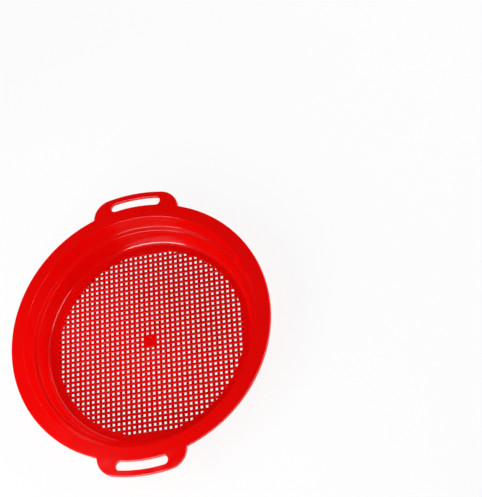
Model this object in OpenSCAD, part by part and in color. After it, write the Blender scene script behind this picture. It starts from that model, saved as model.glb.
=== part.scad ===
// Round sand sieve for a child: a shallow dished bowl with a fine mesh for
// a floor, a flat rim with a turned-down lip and two slotted handles.
// Origin: centre of the flat underside. +Z up, the handles lie on the Y axis.

/* [Mesh] */
// Distance from one hole of the mesh to the next
hole_pitch = 4; // [3:0.25:6]
// Width of a rib of the upper layer, which runs along X
upper_rib_w = 2.1; // [0.8:0.1:2.4]
// Width of a rib of the lower layer, which runs along Y
lower_rib_w = 2.1; // [0.8:0.1:2.4]
// Height of each of the two crossing layers of ribs
rib_h = 1; // [0.6:0.1:1.6]
// Diameter of the round field of holes
mesh_d = 146.8; // [110:0.2:152]
// Holes along one side of the solid square that the plastic entered through
gate_holes = 2; // [2:2:6]
// Diameter of the round dimple in that square
dimple_d = 5; // [2:0.5:6]
// Depth of the dimple
dimple_depth = 0.4; // [0.1:0.1:0.8]

/* [Bowl] */
// Height of the whole sieve
sieve_h = 28.7; // [26:0.1:60]
// Thickness of the walls
wall_t = 1.8; // [1.2:0.1:2.4]
// Width of the plain band of floor round the holes
floor_band_w = 3.6; // [0.8:0.1:6]
// Radius of the inside corner between floor and wall
floor_fillet = 4.3; // [2:0.1:6]
// Slope of the wall below the step, from the level
lower_slope = 76; // [66:1:82]
// Slope of the wall above the step, from the level
upper_slope = 73; // [66:1:82]
// Height of the step in the wall above the underside
step_z = 16.5; // [14:0.1:18]
// Width of the ledge at the step
ledge_w = 2.9; // [2:0.1:5]
// Rise of the ledge over its width
ledge_rise = 1.3; // [0.1:0.1:2]
// How far the ring of wall that holds the step reaches above and below it
step_reach = 3; // [2:0.25:4]

/* [Rim] */
// Width of the flat rim
rim_w = 10.1; // [7:0.1:14]
// Thickness of the rim and of the handle plates
rim_t = 1.8; // [1.2:0.1:2.2]
// Fall of the rim's top from its inner crease to its outer edge
rim_fall = 0.2; // [0.1:0.1:0.8]
// Height of the outer edge with its turned-down lip
lip_h = 3.2; // [2.6:0.1:5]
// Thickness of the lip
lip_t = 1.6; // [1:0.1:1.8]
// Radius of the rim's inner crease and of the edge of the ledge
edge_round = 0.5; // [0.3:0.1:1]

/* [Handles] */
// How far a handle stands out from the rim
handle_reach = 11.1; // [10:0.1:16]
// Width of a handle where it leaves the rim
handle_w = 67.2; // [56:0.2:80]
// Radius of the two outer corners of a handle
handle_corner = 15; // [8:0.5:16]
// Length of the finger slot
slot_l = 39.2; // [24:0.2:44]
// Width of the finger slot
slot_w = 6.7; // [5:0.1:7]

/* [Hidden] */
$fn = 180;
red = [0.86, 0.05, 0.04];

// How far a cutting shape runs past what it cuts
overrun = 2;
// How much wider than half the slot its round ends are, so that they cross
// the edge of the rim at an angle instead of touching it
slot_end_extra = 0.15;
// How far the point of a corner's filling reaches past the corner
corner_bite = 0.1;
// Share of the floor's plain band that the ends of the ribs reach into
rib_bite_share = 0.5;
// Radius of the hollow corner at the back of the ledge, as a share of its width
ledge_fillet_share = 0.25;

mesh_r = mesh_d / 2;
band_r = mesh_r + floor_band_w;
floor_t = 2 * rib_h;
floor_r = band_r + floor_fillet * tan(lower_slope / 2);
step_r = floor_r + (step_z - floor_t) / tan(lower_slope);
ledge_z = step_z + ledge_rise;
crease_r = step_r + ledge_w + (sieve_h - ledge_z) / tan(upper_slope);
rim_r = crease_r + rim_w;
handle_r = rim_r + handle_reach;
rim_z = sieve_h - rim_fall;
lip_z = rim_z - lip_h;
floor_cut_z = floor_t + floor_fillet;
// Radius halfway across the rim, which the wall and its corners stay within
rim_middle_r = crease_r + rim_w / 2;

// Half the length of the solid square along X and along Y
gate_half_x = (gate_holes * hole_pitch + lower_rib_w) / 2;
gate_half_y = (gate_holes * hole_pitch + upper_rib_w) / 2;

// Corners of the inside surface, from the mesh out to the rim's edge
inside = [
  [band_r, floor_t],
  [floor_r, floor_t],
  [step_r, step_z],
  [step_r + ledge_w, ledge_z],
  [crease_r, sieve_h],
  [rim_r, rim_z]
];
// Thickness of the material under each stretch of that surface
thickness = [floor_t, wall_t, wall_t, wall_t, rim_t];
last = len(thickness) - 1;

function unit(v) = v / norm(v);
// Direction of a stretch, and the same stretch moved out by its thickness
function along(i) = unit(inside[i + 1] - inside[i]);
function under(i) = inside[i] + thickness[i] * [along(i)[1], -along(i)[0]];
function cross2(a, b) = a[0] * b[1] - a[1] * b[0];
// Point where the moved stretches i - 1 and i meet
function corner_under(i) =
  under(i - 1) + along(i - 1)
    * cross2(under(i) - under(i - 1), along(i)) / cross2(along(i - 1), along(i));

outside = [
  [band_r, 0],
  for (i = [1 : last]) corner_under(i),
  under(last) + along(last) * (rim_r - under(last)[0]) / along(last)[0]
];
// Height of the rim's underside at its outer edge, where the lip starts
rim_cut_z = outside[last + 1][1];

// Height of the rim's top at a given radius, carried on past its edge
function rim_top(r) = sieve_h - rim_fall * (r - crease_r) / rim_w;

// What lies between a corner and the arc of radius r that rounds it: added,
// it fills a hollow corner; taken away, it rounds a proud one
module corner_fill(before, corner, after, r) {
  u = unit(before - corner);
  w = unit(after - corner);
  half = acos(u * w) / 2;
  difference() {
    polygon([
      corner - corner_bite * unit(u + w),
      corner + r / tan(half) * u,
      corner + r / tan(half) * w
    ]);
    translate(corner + r / sin(half) * unit(u + w)) circle(r);
  }
}

// Rounds corner i of the inside surface
module inside_corner(i, r) {
  corner_fill(inside[i - 1], inside[i], inside[i + 1], r);
}

// Rounds corner i of the outside surface
module outside_corner(i, r) {
  corner_fill(outside[i + 1], outside[i], outside[i - 1], r);
}

// Half section of the whole bowl and rim, without the lip
module section() {
  difference() {
    union() {
      polygon(concat(inside, [for (i = [len(outside) - 1 : -1 : 0]) outside[i]]));
      inside_corner(1, floor_fillet);
      inside_corner(3, ledge_fillet_share * ledge_w);
      outside_corner(4, wall_t);
    }
    outside_corner(1, floor_fillet + wall_t);
    inside_corner(2, edge_round);
    inside_corner(4, edge_round);
  }
}

// The ring of the bowl between two heights and within a radius
module bowl_band(z_from, z_to, reach) {
  color(red)
    rotate_extrude()
      intersection() {
        section();
        translate([0, z_from]) square([reach, z_to - z_from]);
      }
}

// One layer of parallel ribs along X in its round frame, open at the solid square
module rib_layer(rib_w, gate_along, gate_across) {
  rib_reach = floor((mesh_r - rib_w / 2) / hole_pitch);
  difference() {
    union() {
      difference() {
        cylinder(r = band_r, h = rib_h);
        translate([0, 0, -overrun]) cylinder(r = mesh_r, h = rib_h + 2 * overrun);
      }
      intersection() {
        cylinder(r = mesh_r + rib_bite_share * floor_band_w, h = rib_h);
        union() {
          for (i = [1 - rib_reach : rib_reach - 1])
            translate([-band_r, i * hole_pitch - rib_w / 2, 0])
              cube([2 * band_r, rib_w, rib_h]);
          for (side = [0, 180])
            rotate([0, 0, side])
              translate([-band_r, rib_reach * hole_pitch - rib_w / 2, 0])
                cube([2 * band_r, band_r, rib_h]);
        }
      }
    }
    translate([-gate_along, -gate_across, -overrun])
      cube([2 * gate_along, 2 * gate_across, rib_h + 2 * overrun]);
  }
}

module mesh_ribs_top() {
  color(red)
    translate([0, 0, rib_h])
      rib_layer(upper_rib_w, gate_half_x, gate_half_y);
}

module mesh_ribs_bottom() {
  color(red)
    rotate([0, 0, 90])
      rib_layer(lower_rib_w, gate_half_y, gate_half_x);
}

module gate_pad() {
  color(red)
    difference() {
      translate([-gate_half_x, -gate_half_y, 0])
        cube([2 * gate_half_x, 2 * gate_half_y, floor_t]);
      translate([0, 0, floor_t - dimple_depth])
        cylinder(d = dimple_d, h = dimple_depth + overrun);
    }
}

module floor_ring() {
  bowl_band(0, floor_cut_z, rim_middle_r);
}

module lower_wall() {
  bowl_band(floor_cut_z, step_z - step_reach, rim_middle_r);
}

module step_ring() {
  bowl_band(step_z - step_reach, step_z + step_reach, rim_middle_r);
}

module upper_wall() {
  bowl_band(step_z + step_reach, rim_cut_z, rim_middle_r);
}

module rim_flange() {
  bowl_band(rim_cut_z, sieve_h, rim_r + overrun);
}

module rim_lip() {
  color(red)
    translate([0, 0, lip_z])
      difference() {
        cylinder(r = rim_r, h = rim_cut_z - lip_z);
        translate([0, 0, -overrun])
          cylinder(r = rim_r - lip_t, h = rim_cut_z - lip_z + 2 * overrun);
      }
}

// Outline of a handle, drawn in by inset all round
module handle_outline(inset) {
  centre_r = handle_r - handle_corner;
  centre_x = handle_w / 2 - handle_corner;
  centre_y = sqrt(centre_r * centre_r - centre_x * centre_x);
  for (side = [-1, 1])
    translate([side * centre_x, centre_y]) circle(handle_corner - inset);
  intersection() {
    circle(handle_r - inset);
    polygon([[0, 0], 2 * [centre_x, centre_y], 2 * [-centre_x, centre_y]]);
  }
}

// Outline of the finger slot, widened by grow all round
module slot_outline(grow) {
  middle_r = rim_r + slot_w / 2;
  end_x = (slot_l - slot_w) / 2;
  end_y = sqrt(middle_r * middle_r - end_x * end_x);
  for (side = [-1, 1])
    translate([side * end_x, end_y]) circle(slot_w / 2 + slot_end_extra + grow);
  intersection() {
    circle(rim_r + slot_w + grow);
    polygon([[0, 0], 2 * [end_x, end_y], 2 * [-end_x, end_y]]);
  }
}

// Ring round the rim between two depths below the slope of the rim's top
module sloped_ring(inner_r, outer_r, depth_from, depth_to) {
  rotate_extrude()
    polygon([
      [inner_r, rim_top(inner_r) - depth_from],
      [outer_r, rim_top(outer_r) - depth_from],
      [outer_r, rim_top(outer_r) - depth_to],
      [inner_r, rim_top(inner_r) - depth_to]
    ]);
}

// A plate that carries on the slope of the rim, with a lip round its edge
// and round the finger slot, hollow between the lips from below
module handle() {
  color(red)
    difference() {
      intersection() {
        sloped_ring(rim_r, handle_r + overrun, 0, lip_h);
        linear_extrude(sieve_h + overrun)
          difference() {
            handle_outline(0);
            slot_outline(0);
          }
      }
      intersection() {
        sloped_ring(rim_r - overrun, handle_r + overrun, rim_t, lip_h + overrun);
        linear_extrude(sieve_h + overrun)
          difference() {
            handle_outline(lip_t);
            slot_outline(lip_t);
          }
      }
    }
}

module handle_front() {
  rotate([0, 0, 180]) handle();
}

module handle_back() {
  handle();
}

mesh_ribs_top();
mesh_ribs_bottom();
gate_pad();
floor_ring();
lower_wall();
step_ring();
upper_wall();
rim_flange();
rim_lip();
handle_front();
handle_back();
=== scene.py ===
"""Looks of a child's round sand sieve: one glossy moulding with a square mesh floor.

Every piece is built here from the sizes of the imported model, in metres.
"""

import math

import bmesh
import bpy
from mathutils import Matrix, Vector
from mathutils.geometry import delaunay_2d_cdt


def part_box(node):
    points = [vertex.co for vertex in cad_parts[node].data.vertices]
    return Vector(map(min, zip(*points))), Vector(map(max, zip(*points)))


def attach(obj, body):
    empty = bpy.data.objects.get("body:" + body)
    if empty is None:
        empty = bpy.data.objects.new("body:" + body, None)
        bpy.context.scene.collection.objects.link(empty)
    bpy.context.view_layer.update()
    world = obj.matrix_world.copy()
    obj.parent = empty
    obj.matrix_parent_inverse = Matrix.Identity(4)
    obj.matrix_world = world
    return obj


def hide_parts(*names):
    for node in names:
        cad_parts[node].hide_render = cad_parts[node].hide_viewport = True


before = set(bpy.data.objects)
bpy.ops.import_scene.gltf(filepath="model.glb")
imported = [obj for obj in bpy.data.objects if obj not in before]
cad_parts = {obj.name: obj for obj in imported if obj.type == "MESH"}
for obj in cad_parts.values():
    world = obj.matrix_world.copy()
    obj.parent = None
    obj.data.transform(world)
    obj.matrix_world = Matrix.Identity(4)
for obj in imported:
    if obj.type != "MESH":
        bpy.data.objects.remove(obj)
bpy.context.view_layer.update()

MM = 0.001
BODY = "root"

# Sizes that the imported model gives
RIBS_LOW, RIBS_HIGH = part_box("mesh_ribs_top")
PAD_LOW, PAD_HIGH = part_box("gate_pad")
STEP_LOW, STEP_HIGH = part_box("step_ring")
LIP_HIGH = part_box("rim_lip")[1]
HANDLE_LOW, HANDLE_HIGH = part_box("handle_back")
BAND_R = RIBS_HIGH.x
FLOOR_Z = RIBS_HIGH.z
PART_Z = RIBS_LOW.z
PAD_HALF_X = PAD_HIGH.x
PAD_HALF_Y = PAD_HIGH.y
STEP_Z = (STEP_LOW.z + STEP_HIGH.z) / 2
RIM_R = LIP_HIGH.x
HANDLE_R = HANDLE_HIGH.y
HANDLE_W = HANDLE_HIGH.x - HANDLE_LOW.x
RIM_EDGE_Z = HANDLE_HIGH.z

# Sizes of the moulding that no box shows
HOLE_PITCH = 4.0 * MM
UPPER_RIB_W = 2.1 * MM
LOWER_RIB_W = 2.1 * MM
MESH_R = 73.4 * MM
WALL_T = 1.8 * MM
FLOOR_FILLET = 4.3 * MM
LOWER_SLOPE = math.radians(76)
LEDGE_W = 2.9 * MM
LEDGE_RISE = 1.3 * MM
LEDGE_FILLET = 0.73 * MM
EDGE_ROUND = 0.5 * MM
RIM_W = 10.1 * MM
RIM_T = 1.8 * MM
RIM_FALL = 0.2 * MM
LIP_H = 3.2 * MM
LIP_T = 1.6 * MM
HANDLE_CORNER = 15.0 * MM
SLOT_L = 39.2 * MM
SLOT_W = 6.7 * MM
DIMPLE_R = 2.5 * MM
DIMPLE_DEPTH = 0.4 * MM
# Share of the dimple's radius that its flat bottom reaches
DIMPLE_FLAT = 0.7
# Share of the rim's width at which the bowl's section gives way to the flat plate
SEAM_SHARE = 0.25

# Small rounds that a mould leaves, which the plain solids do without
NECK_ROUND = 0.8 * MM
TOP_ROUND = 0.7 * MM
FOOT_ROUND = 0.4 * MM
POCKET_ROUND = 0.3 * MM
HOLE_EDGE_ROUND = 0.25 * MM
STEP_BACK_ROUND = 0.6 * MM
RIB_ROUND = 0.5 * MM

# How much a rib narrows upwards on each side, lies below the band round the mesh and reaches into it
RIB_DRAFT = 0.1 * MM
RIB_SINK = 0.04 * MM
RIB_BITE = 0.4 * MM

# How much rougher the sand has scoured the floor than the walls
SCOURED = 0.1

# How much rougher hands and the ground have rubbed patches of the rim's edge and the handles
RUBBED = 0.12
RUB_REACH = 1.5 * MM

# Heights above the floor between which its looks change into the walls' looks
CHANGE_START = 0.05 * MM
CHANGE_END = 0.5 * MM

# Fineness of the plastic's patterns, in features to the metre
CLOUD_SCALE = 25
WAVE_SCALE = 60
SCUFF_SCALE = 160
GRAIN_SCALE = 900

# Depths of the plastic's waves and grain, and how strongly they show
WAVE_DEPTH = 0.2 * MM
WAVE_STRENGTH = 0.08
GRAIN_DEPTH = 0.02 * MM
GRAIN_STRENGTH = 0.05

# Noise values at which a rubbed patch begins and is complete
SCUFF_START = 0.45
SCUFF_END = 0.6

# Noise values that have the plastic's darkest and lightest red, and those reds
TINTS_AT = (0.3, 0.7)
TINTS = ((0.78, 0.0006, 0.0003), (0.82, 0.0012, 0.0005))
PLASTIC_IOR = 1.49

# The studio's floor, the share of its white that is its own glow to the camera, and the even light
STUDIO_FLOOR_SIZE = 8
STUDIO_FLOOR_GAP = 0.2 * MM
STUDIO_FLOOR_WHITE = 0.95
STUDIO_GLOW = 0.88
EVEN_LIGHT = 0.02

# How finely round things are divided
RING_STEP = math.radians(1.5)
CORNER_STEP = math.radians(5)
ROUND_STEP = math.radians(15)
PAD_COUNT = 48

# Shares and lengths too small to matter
ROUNDING = 1e-6
SAME_PLACE = 1e-9
SLOPE_REACH = 0.01 * MM

# A face that leans further than this from a vertex's true normal meets it at a sharp edge
SHARP_COSINE = math.cos(math.radians(50))

UP = Vector((0, 0, 1))
CREASE_R = RIM_R - RIM_W
CREASE_Z = RIM_EDGE_Z + RIM_FALL
FLOOR_R = BAND_R + FLOOR_FILLET * math.tan(LOWER_SLOPE / 2)
STEP_R = FLOOR_R + (STEP_Z - FLOOR_Z) / math.tan(LOWER_SLOPE)
LEDGE_Z = STEP_Z + LEDGE_RISE


def rim_top(radius):
    """Height of the rim's sloping top at a distance from the middle."""
    return CREASE_Z - RIM_FALL * (radius - CREASE_R) / RIM_W


def rim_normal(place):
    """Direction that the rim's top faces at a place."""
    out = Vector((place.x, place.y, 0)).normalized()
    return (UP * RIM_W + out * RIM_FALL).normalized()


def steps_between(start, end, step):
    """Evenly spaced values from start to end, both included."""
    count = max(1, math.ceil(abs(end - start) / step - ROUNDING))
    return [start + (end - start) * i / count for i in range(count + 1)]


def flat_direction(angle):
    """Unit vector in the ground plane at an angle from +X."""
    return Vector((math.cos(angle), math.sin(angle)))


def angle_of(vector):
    """Angle of a vector in the ground plane from +X."""
    return math.atan2(vector.y, vector.x)


def right_of(direction):
    """The vector a quarter turn clockwise from a direction."""
    return Vector((direction.y, -direction.x))


def rounded_path(corners, radii):
    """Points and right-hand normals along a line whose corners are rounded."""
    path = [(corners[0], right_of((corners[1] - corners[0]).normalized()))]
    for before, corner, after, radius in zip(corners, corners[1:], corners[2:], radii):
        way_in = (corner - before).normalized()
        way_out = (after - corner).normalized()
        turn = way_in.angle_signed(way_out)
        reach = radius * math.tan(abs(turn) / 2)
        side = 1 if turn > 0 else -1
        centre = corner - way_in * reach + right_of(way_in) * radius * side
        for part in steps_between(0, turn, ROUND_STEP):
            normal = right_of(way_in)
            normal.rotate(Matrix.Rotation(-part, 2))
            path.append((centre - normal * radius * side, normal))
    path.append((corners[-1], right_of((corners[-1] - corners[-2]).normalized())))
    return path


def moved_out(start, end, thickness):
    """The line from start to end, moved to its left by a thickness."""
    shift = right_of((end - start).normalized()) * -thickness
    return start + shift, end + shift


def crossing(first, second):
    """Point where two lines meet, each given by two points."""
    way, other = first[1] - first[0], second[1] - second[0]
    gap = second[0] - first[0]
    share = (gap.x * other.y - gap.y * other.x) / (way.x * other.y - way.y * other.x)
    return first[0] + way * share


class Shell:
    """A mesh under construction whose every vertex carries its true normal."""

    def __init__(self, name):
        self.name = name
        self.places = []
        self.normals = []
        self.faces = []

    def add(self, place, normal):
        """Adds a vertex and returns its number."""
        self.places.append(Vector(place))
        self.normals.append(Vector(normal).normalized())
        return len(self.places) - 1

    def strip(self, first, second, closed=True):
        """Joins two rows of vertices with four-sided faces."""
        count = len(first) if closed else len(first) - 1
        for i in range(count):
            j = (i + 1) % len(first)
            self.faces.append((first[i], first[j], second[j], second[i]))

    def finish(self, material):
        """Makes the object, with outward faces and the true normals."""
        mesh = bpy.data.meshes.new(self.name)
        mesh.from_pydata(self.places, [], self.faces)
        work = bmesh.new()
        work.from_mesh(mesh)
        bmesh.ops.recalc_face_normals(work, faces=work.faces)
        work.to_mesh(mesh)
        work.free()
        mesh.shade_smooth()
        corners = []
        for face in mesh.polygons:
            for number in face.vertices:
                round_here = self.normals[number].dot(face.normal) > SHARP_COSINE
                corners.append(self.normals[number] if round_here else face.normal)
        mesh.normals_split_custom_set(corners)
        mesh.materials.append(material)
        piece = bpy.data.objects.new(self.name, mesh)
        bpy.context.scene.collection.objects.link(piece)
        return piece


def bowl_path():
    """Half section of the bowl, from the rim's top round the mesh's edge to the rim's underside."""
    inside = [
        Vector((RIM_R, RIM_EDGE_Z)),
        Vector((CREASE_R, CREASE_Z)),
        Vector((STEP_R + LEDGE_W, LEDGE_Z)),
        Vector((STEP_R, STEP_Z)),
        Vector((FLOOR_R, FLOOR_Z)),
        Vector((MESH_R, FLOOR_Z)),
    ]
    thickness = [RIM_T, WALL_T, WALL_T, WALL_T, FLOOR_Z]
    lines = [moved_out(a, b, t) for a, b, t in zip(inside, inside[1:], thickness)]
    outside = [crossing(a, b) for a, b in zip(lines, lines[1:])]
    seam_in = inside[1].lerp(inside[0], SEAM_SHARE)
    seam_out = outside[0] + (inside[0] - inside[1]) * SEAM_SHARE
    corners = [seam_in, *inside[1:], Vector((MESH_R, 0)), *reversed(outside), seam_out]
    radii = [
        EDGE_ROUND,
        LEDGE_FILLET,
        EDGE_ROUND,
        FLOOR_FILLET,
        HOLE_EDGE_ROUND,
        HOLE_EDGE_ROUND,
        FLOOR_FILLET + WALL_T,
        STEP_BACK_ROUND,
        STEP_BACK_ROUND,
        WALL_T,
    ]
    return rounded_path(corners, radii)


def arc(centre, radius, start, end, step, side):
    """Points of an arc but its last. side is 1 where the plastic lies on the centre's side of it."""
    return [(centre, flat_direction(a), radius, side) for a in steps_between(start, end, step)][:-1]


def half_turned(points):
    """The same arcs turned half a turn about the middle."""
    return [(-centre, -direction, radius, side) for centre, direction, radius, side in points]


def mirrored(points):
    """The same arcs mirrored across the Y axis, in the opposite order."""
    flip = Vector((-1, 1))
    return [(c * flip, d * flip, radius, side) for c, d, radius, side in reversed(points)]


def perimeter():
    """The outer edge of the rim and both handles, counter-clockwise from +X."""
    middle = Vector((0, 0))
    corner_r = HANDLE_R - HANDLE_CORNER
    corner_x = HANDLE_W / 2 - HANDLE_CORNER
    corner = Vector((corner_x, math.sqrt(corner_r**2 - corner_x**2)))
    neck_r = RIM_R + NECK_ROUND
    neck_reach = HANDLE_CORNER + NECK_ROUND
    spread = math.acos((corner_r**2 + neck_r**2 - neck_reach**2) / (2 * corner_r * neck_r))
    neck_angle = angle_of(corner) - spread
    neck = flat_direction(neck_angle) * neck_r
    corner_start = angle_of(neck - corner)
    corner_end = angle_of(corner)
    rim = arc(middle, RIM_R, 0, neck_angle, RING_STEP, 1)
    hollow = arc(neck, NECK_ROUND, neck_angle + math.pi, corner_start + math.pi, ROUND_STEP, -1)
    shoulder = arc(corner, HANDLE_CORNER, corner_start, corner_end, CORNER_STEP, 1)
    grip = arc(middle, HANDLE_R, corner_end, math.pi / 2, RING_STEP, 1)
    top = [(middle, flat_direction(math.pi / 2), HANDLE_R, 1)]
    quarter = rim + hollow + shoulder + grip
    half = quarter + top + mirrored(quarter)
    return half[:-1] + half_turned(half)[:-1]


def slot_edge():
    """The edge of the back handle's finger slot, counter-clockwise."""
    middle = Vector((0, 0))
    middle_r = RIM_R + SLOT_W / 2
    end_x = (SLOT_L - SLOT_W) / 2
    end = Vector((end_x, math.sqrt(middle_r**2 - end_x**2)))
    start = angle_of(end)
    stop = math.pi - start
    far_end = Vector((-end.x, end.y))
    outer = arc(middle, RIM_R + SLOT_W, start, stop, RING_STEP, -1)
    left = arc(far_end, SLOT_W / 2, stop, stop + math.pi, ROUND_STEP, -1)
    inner = arc(middle, RIM_R, stop, start, RING_STEP, 1)
    right = arc(end, SLOT_W / 2, start + math.pi, start + 2 * math.pi, ROUND_STEP, -1)
    return outer + left + inner + right


def edge_section():
    """Section of a lipped edge, as how far in, how far down, and the normal's out and up parts."""
    section = []

    def corner(inset, depth, radius, start, end):
        for a in steps_between(math.radians(start), math.radians(end), ROUND_STEP):
            out, up = math.cos(a), math.sin(a)
            section.append((inset - radius * out, depth - radius * up, out, up))

    corner(TOP_ROUND, TOP_ROUND, TOP_ROUND, 90, 0)
    corner(FOOT_ROUND, LIP_H - FOOT_ROUND, FOOT_ROUND, 0, -90)
    corner(LIP_T - FOOT_ROUND, LIP_H - FOOT_ROUND, FOOT_ROUND, -90, -180)
    pocket = []
    for a in steps_between(0, math.pi / 2, ROUND_STEP):
        out, up = math.cos(a), math.sin(a)
        inset = LIP_T + POCKET_ROUND * (1 - out)
        depth = RIM_T + POCKET_ROUND * (1 - up)
        pocket.append((inset, depth, -out, -up))
    return section + pocket


def edge_strip(shell, points, section):
    """Sweeps the section of an edge along its line. Returns its top and bottom rows."""
    rows = []
    for inset, depth, out, up in section:
        row = []
        for centre, direction, radius, side in points:
            flat = centre + direction * (radius - side * inset)
            place = Vector((flat.x, flat.y, rim_top(flat.length) - depth))
            outward = Vector((direction.x, direction.y, 0)) * side
            row.append(shell.add(place, outward * out + rim_normal(place) * up))
        rows.append(row)
    for first, second in zip(rows, rows[1:]):
        shell.strip(first, second)
    return rows[0], rows[-1]


def inside_loop(point, loop):
    """Whether a point lies inside a closed line."""
    inside = False
    for a, b in zip(loop, loop[1:] + loop[:1]):
        if (a.y > point.y) != (b.y > point.y):
            if point.x < (b.x - a.x) * (point.y - a.y) / (b.y - a.y) + a.x:
                inside = not inside
    return inside


def plate(shell, outer, holes):
    """Fills the space between an outer row of vertices and the rows of its holes."""
    rows = [outer, *holes]
    numbers = [n for row in rows for n in row]
    flat = [shell.places[n].xy for n in numbers]
    edges = []
    start = 0
    for row in rows:
        edges += [(start + i, start + (i + 1) % len(row)) for i in range(len(row))]
        start += len(row)
    made, _, faces, sources, _, _ = delaunay_2d_cdt(flat, edges, [], 0, SAME_PLACE)
    loops = [[shell.places[n].xy for n in row] for row in rows]
    for face in faces:
        middle = sum((made[i] for i in face), Vector((0, 0))) / len(face)
        if not inside_loop(middle, loops[0]) or any(inside_loop(middle, h) for h in loops[1:]):
            continue
        shell.faces.append(tuple(numbers[sources[i][0]] for i in face))


def build_bowl(material):
    """The wall, the rim and the handles, as one shell."""
    shell = Shell("bowl_rim_and_handles")
    angles = steps_between(0, 2 * math.pi, RING_STEP)[:-1]
    rows = []
    for place, normal in bowl_path():
        row = []
        for angle in angles:
            out = flat_direction(angle)
            row.append(shell.add((*(out * place.x), place.y), (*(out * normal.x), normal.y)))
        rows.append(row)
    for first, second in zip(rows, rows[1:]):
        shell.strip(first, second)
    section = edge_section()
    rim_rows = edge_strip(shell, perimeter(), section)
    slot = slot_edge()
    slot_rows = [edge_strip(shell, s, section) for s in (slot, half_turned(slot))]
    plate(shell, rim_rows[0], [rows[0], *(top for top, _ in slot_rows)])
    plate(shell, rim_rows[1], [rows[-1], *(bottom for _, bottom in slot_rows)])
    return shell.finish(material)


def rib_section(width):
    """Half of an upper rib's section, as across, up and their normal, from its foot to its middle."""
    foot = Vector((width / 2, PART_Z - RIB_SINK))
    top = Vector((width / 2 - RIB_DRAFT, FLOOR_Z - RIB_SINK))
    path = rounded_path([foot, top, Vector((0, top.y))], [RIB_ROUND])
    return [(p.x, p.y, n.x, n.y) for p, n in path]


def add_rib(shell, width, middle, from_x, to_x, wide=0.0):
    """One upper rib along X, up to the mesh's edge at most, and wider by wide on its outer side."""
    half = rib_section(width)[:-1]
    outward = math.copysign(1, middle)
    section = [(middle + outward * (across + wide), up, outward * n_across, n_up)
               for across, up, n_across, n_up in half]
    section += [(middle - outward * across, up, -outward * n_across, n_up)
                for across, up, n_across, n_up in reversed(half)]
    ends = []
    for limit in (from_x, to_x):
        row = []
        for y, z, n_y, n_z in section:
            reach = math.sqrt(max(0.0, (MESH_R + RIB_BITE) ** 2 - y * y))
            x = math.copysign(min(abs(limit), reach), limit)
            row.append(shell.add((x, y, z), (0, n_y, n_z)))
        ends.append(row)
    shell.strip(ends[0], ends[1])
    shell.faces.append(tuple(ends[0]))
    shell.faces.append(tuple(reversed(ends[1])))


def build_ribs(material, name, width, pad_along, pad_across):
    """A layer of ribs along X that leave out the solid square. The last ones fill up to the edge."""
    shell = Shell(name)
    last = int((MESH_R - width / 2) / HOLE_PITCH)
    stop = pad_along - RIB_BITE
    for i in range(-last, last + 1):
        middle = i * HOLE_PITCH
        if abs(middle) < pad_across:
            add_rib(shell, width, middle, -BAND_R, -stop)
            add_rib(shell, width, middle, stop, BAND_R)
        elif abs(i) == last:
            wide = MESH_R - last * HOLE_PITCH - width / 2
            add_rib(shell, width, middle, -BAND_R, BAND_R, wide)
        else:
            add_rib(shell, width, middle, -BAND_R, BAND_R)
    return shell.finish(material)


def build_upper_ribs(material):
    """The upper layer of the mesh."""
    return build_ribs(material, "mesh_upper_ribs", UPPER_RIB_W, PAD_HALF_X, PAD_HALF_Y)


def build_lower_ribs(material):
    """The lower layer: built like the upper one, then turned over and along Y."""
    piece = build_ribs(material, "mesh_lower_ribs", LOWER_RIB_W, PAD_HALF_Y, PAD_HALF_X)
    turn = Matrix.Rotation(math.pi, 4, Vector((1, 1, 0)))
    piece.data.transform(Matrix.Translation((0, 0, FLOOR_Z)) @ turn)
    return piece


def pad_height(x, y):
    """Height of the solid square's top, with rounded edges and a round dimple."""
    inset = min(PAD_HALF_X - abs(x), PAD_HALF_Y - abs(y))
    edge = max(0.0, HOLE_EDGE_ROUND - inset) / HOLE_EDGE_ROUND
    fall = HOLE_EDGE_ROUND * (1 - math.sqrt(max(0.0, 1 - edge * edge)))
    past_flat = (math.hypot(x, y) / DIMPLE_R - DIMPLE_FLAT) / (1 - DIMPLE_FLAT)
    share = min(1.0, max(0.0, past_flat))
    dip = DIMPLE_DEPTH * (1 - share * share * (3 - 2 * share))
    return FLOOR_Z - fall - dip


def pad_normal(x, y):
    """Direction that the solid square's top faces at a place."""
    slope_x = (pad_height(x + SLOPE_REACH, y) - pad_height(x - SLOPE_REACH, y)) / (2 * SLOPE_REACH)
    slope_y = (pad_height(x, y + SLOPE_REACH) - pad_height(x, y - SLOPE_REACH)) / (2 * SLOPE_REACH)
    return (-slope_x, -slope_y, 1)


def build_pad(material):
    """The solid square in the middle of the mesh, with its round dimple."""
    shell = Shell("gate_pad_plate")
    spread = [math.sin(math.pi / 2 * (2 * i / PAD_COUNT - 1)) for i in range(PAD_COUNT + 1)]
    rows = []
    for share_y in spread:
        y = share_y * PAD_HALF_Y
        row = []
        for share_x in spread:
            x = share_x * PAD_HALF_X
            row.append(shell.add((x, y, pad_height(x, y)), pad_normal(x, y)))
        rows.append(row)
    for first, second in zip(rows, rows[1:]):
        shell.strip(first, second, closed=False)
    ring = rows[0] + [r[-1] for r in rows[1:]] + rows[-1][-2::-1] + [r[0] for r in rows[-2:0:-1]]
    skirt = [shell.add((*shell.places[n].xy, PAD_LOW.z), -UP) for n in ring]
    shell.strip(ring, skirt)
    shell.faces.append(tuple(reversed(skirt)))
    return shell.finish(material)


def noise(nodes, links, place, scale, detail):
    """The value of an even noise at each place."""
    node = nodes.new("ShaderNodeTexNoise")
    node.inputs["Scale"].default_value = scale
    node.inputs["Detail"].default_value = detail
    links.new(place, node.inputs["Vector"])
    return node.outputs["Fac"]


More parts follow.
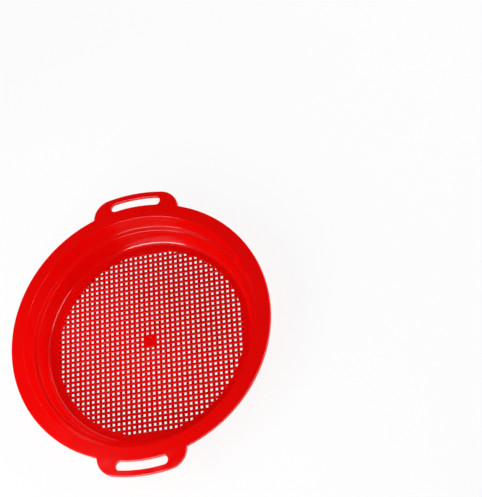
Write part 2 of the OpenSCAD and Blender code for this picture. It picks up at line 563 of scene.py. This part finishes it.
def bump(nodes, links, height, strength, distance):
    """A node that bends the surface's direction by the slope of a height."""
    node = nodes.new("ShaderNodeBump")
    node.inputs["Strength"].default_value = strength
    node.inputs["Distance"].default_value = distance
    links.new(height, node.inputs["Height"])
    return node


def mould_bump(nodes, links, place):
    """The faint unevenness of a moulded surface: broad waves, with a fine grain on them."""
    broad = noise(nodes, links, place, WAVE_SCALE, 2)
    fine = noise(nodes, links, place, GRAIN_SCALE, 3)
    waves = bump(nodes, links, broad, WAVE_STRENGTH, WAVE_DEPTH)
    grain = bump(nodes, links, fine, GRAIN_STRENGTH, GRAIN_DEPTH)
    links.new(waves.outputs["Normal"], grain.inputs["Normal"])
    return grain.outputs["Normal"]


def value_map(nodes, links, value, from_low, from_high, to_low, to_high):
    """A value carried over from one range to another, and held at its ends."""
    node = nodes.new("ShaderNodeMapRange")
    node.inputs["From Min"].default_value = from_low
    node.inputs["From Max"].default_value = from_high
    node.inputs["To Min"].default_value = to_low
    node.inputs["To Max"].default_value = to_high
    links.new(value, node.inputs["Value"])
    return node.outputs["Result"]


def combined(nodes, links, operation, first, second):
    """One value worked out from two, such as their product."""
    node = nodes.new("ShaderNodeMath")
    node.operation = operation
    links.new(first, node.inputs[0])
    links.new(second, node.inputs[1])
    return node.outputs[0]


def by_height(nodes, links, parts, on_floor, on_walls):
    """A value that changes from the floor's to the walls' where the floor begins to rise."""
    start, end = FLOOR_Z + CHANGE_START, FLOOR_Z + CHANGE_END
    return value_map(nodes, links, parts.outputs["Z"], start, end, on_floor, on_walls)


def wear(nodes, links, place, parts):
    """Roughness that use has added: scoured on the floor, rubbed in patches on edge and handles."""
    scour = by_height(nodes, links, parts, SCOURED, 0)
    flat = nodes.new("ShaderNodeCombineXYZ")
    links.new(parts.outputs["X"], flat.inputs["X"])
    links.new(parts.outputs["Y"], flat.inputs["Y"])
    distance = nodes.new("ShaderNodeVectorMath")
    distance.operation = "LENGTH"
    links.new(flat.outputs["Vector"], distance.inputs[0])
    outer = value_map(nodes, links, distance.outputs["Value"], RIM_R - RUB_REACH, RIM_R, 0, RUBBED)
    scuffs = noise(nodes, links, place, SCUFF_SCALE, 6)
    patches = value_map(nodes, links, scuffs, SCUFF_START, SCUFF_END, 0, 1)
    rub = combined(nodes, links, "MULTIPLY", outer, patches)
    return combined(nodes, links, "ADD", scour, rub)


def red_plastic(name, smoothest, roughest, shine, floor_shine=None, painted_shade=1.0):
    """Red plastic between two roughnesses. A floor may have its own shine; painted_shade darkens its red
    as painted shade.
    """
    material = bpy.data.materials.new(name)
    material.use_nodes = True
    nodes, links = material.node_tree.nodes, material.node_tree.links
    shader = nodes["Principled BSDF"]
    shader.inputs["IOR"].default_value = PLASTIC_IOR
    place = nodes.new("ShaderNodeTexCoord").outputs["Object"]
    parts = nodes.new("ShaderNodeSeparateXYZ")
    links.new(place, parts.inputs["Vector"])
    shader.inputs["Specular IOR Level"].default_value = shine
    if floor_shine is not None:
        rising = by_height(nodes, links, parts, floor_shine, shine)
        links.new(rising, shader.inputs["Specular IOR Level"])
    cloud = noise(nodes, links, place, CLOUD_SCALE, 4)
    tint = nodes.new("ShaderNodeValToRGB")
    # A painted_shade below 1 darkens the red as painted shade; the plastic itself is not darker
    for stop, value, (red, green, blue) in zip(tint.color_ramp.elements, TINTS_AT, TINTS):
        stop.position = value
        stop.color = (red * painted_shade, green, blue, 1)
    links.new(cloud, tint.inputs["Fac"])
    links.new(tint.outputs["Color"], shader.inputs["Base Color"])
    moulded = value_map(nodes, links, cloud, 0, 1, smoothest, roughest)
    worn = combined(nodes, links, "ADD", moulded, wear(nodes, links, place, parts))
    links.new(worn, shader.inputs["Roughness"])
    links.new(mould_bump(nodes, links, place), shader.inputs["Normal"])
    return material


def add_floor():
    """A plain white floor that stays white to the camera and keeps a soft shadow."""
    material = bpy.data.materials.new("white_floor")
    material.use_nodes = True
    nodes, links = material.node_tree.nodes, material.node_tree.links
    matt = nodes["Principled BSDF"]
    matt.inputs["Base Color"].default_value = (*[STUDIO_FLOOR_WHITE] * 3, 1)
    matt.inputs["Roughness"].default_value = 0.8
    glow = nodes.new("ShaderNodeEmission")
    mix = nodes.new("ShaderNodeMixShader")
    path = nodes.new("ShaderNodeLightPath")
    share = nodes.new("ShaderNodeMath")
    share.operation = "MULTIPLY"
    share.inputs[1].default_value = STUDIO_GLOW
    links.new(path.outputs["Is Camera Ray"], share.inputs[0])
    links.new(share.outputs[0], mix.inputs["Fac"])
    links.new(matt.outputs[0], mix.inputs[1])
    links.new(glow.outputs[0], mix.inputs[2])
    links.new(mix.outputs[0], nodes["Material Output"].inputs["Surface"])
    bpy.ops.mesh.primitive_plane_add(size=STUDIO_FLOOR_SIZE, location=(0, 0, -STUDIO_FLOOR_GAP))
    floor = bpy.context.object
    floor.name = "floor"
    floor.data.materials.append(material)


def add_world():
    """A plain even light from all round, white to the camera."""
    world = bpy.data.worlds.new("studio")
    world.use_nodes = True
    nodes, links = world.node_tree.nodes, world.node_tree.links
    light = nodes["Background"]
    light.inputs["Color"].default_value = (1, 1, 1, 1)
    light.inputs["Strength"].default_value = EVEN_LIGHT
    white = nodes.new("ShaderNodeBackground")
    white.inputs["Color"].default_value = (1, 1, 1, 1)
    mix = nodes.new("ShaderNodeMixShader")
    path = nodes.new("ShaderNodeLightPath")
    links.new(path.outputs["Is Camera Ray"], mix.inputs["Fac"])
    links.new(light.outputs[0], mix.inputs[1])
    links.new(white.outputs[0], mix.inputs[2])
    links.new(mix.outputs[0], nodes["World Output"].inputs["Surface"])
    bpy.context.scene.world = world


def add_softbox(name, azimuth, elevation, distance, width, height, power, glossy=True):
    """A soft lamp that faces the sieve from a direction. One that isn't glossy leaves no highlight."""
    turn, rise = math.radians(azimuth), math.radians(elevation)
    way = Vector((math.cos(turn) * math.cos(rise), math.sin(turn) * math.cos(rise), math.sin(rise)))
    data = bpy.data.lights.new(name, "AREA")
    data.shape = "RECTANGLE"
    data.size = width
    data.size_y = height
    data.energy = power
    lamp = bpy.data.objects.new(name, data)
    lamp.location = way * distance
    lamp.rotation_euler = (-way).to_track_quat("-Z", "Y").to_euler()
    lamp.visible_glossy = glossy
    bpy.context.scene.collection.objects.link(lamp)


def add_lamps():
    """A key light with two reflections, and fills that leave no highlight.

    Each lamp has its direction round from +X and up from the level, in degrees, then its distance,
    width and height in metres, and its power in watts.
    """
    add_softbox("key", 241.5, 31, 0.65, 0.50, 0.25, 2.5)
    add_softbox("right_strip", -15, 13, 1.2, 0.71, 0.13, 1.9)
    add_softbox("back_card", 65, 20, 1.2, 1.39, 0.53, 0.8)
    add_softbox("right_fill", 22, 15, 1.2, 1.39, 0.53, 10, glossy=False)
    add_softbox("back_fill", 62, 20, 1.2, 1.39, 0.53, 7.5, glossy=False)
    add_softbox("left_fill", 202, 58, 0.45, 0.20, 0.20, 0.79, glossy=False)
    add_softbox("left_low", 190, 22, 1.2, 1.12, 0.42, 3.2, glossy=False)
    add_softbox("front_low", 280, 22, 1.2, 1.12, 0.42, 0.3, glossy=False)


def add_camera():
    """The photograph's view: a long lens, high over the front right."""
    place = Vector((0.32074, -0.41008, 0.95560))
    aim = Vector((0.08152, 0.04943, 0.029))
    roll = math.radians(-34.165)
    data = bpy.data.cameras.new("camera")
    data.sensor_width = 36
    data.lens = 104.71
    camera = bpy.data.objects.new("camera", data)
    look = (aim - place).to_track_quat("-Z", "Y").to_matrix().to_4x4()
    camera.matrix_world = Matrix.Translation(place) @ look @ Matrix.Rotation(roll, 4, "Z")
    bpy.context.scene.collection.objects.link(camera)
    bpy.context.scene.camera = camera


def keep(piece, *nodes):
    """Fixes a finished piece to the sieve in place of its plain solids."""
    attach(piece, BODY)
    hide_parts(*nodes)


# The ribs are rougher and duller than the rest. The lower ones have their red darkened as painted shade,
# standing in for the shade the upper ribs cast on them
plastic = red_plastic("red_plastic_wall", 0.08, 0.14, shine=1.0, floor_shine=0.3)
rib_plastic = red_plastic("red_plastic_ribs", 0.15, 0.2, shine=0.25)
painted_shade_low_rib_plastic = red_plastic("red_plastic_low_ribs_painted_shade", 0.15, 0.2, shine=0.15, painted_shade=0.7)

add_camera()
keep(build_bowl(plastic), "floor_ring", "lower_wall", "step_ring", "upper_wall",
     "rim_flange", "rim_lip", "handle_front", "handle_back")
keep(build_upper_ribs(rib_plastic), "mesh_ribs_top")
keep(build_lower_ribs(painted_shade_low_rib_plastic), "mesh_ribs_bottom")
keep(build_pad(plastic), "gate_pad")
add_floor()
add_world()
add_lamps()
bpy.context.scene.view_settings.view_transform = "Standard"
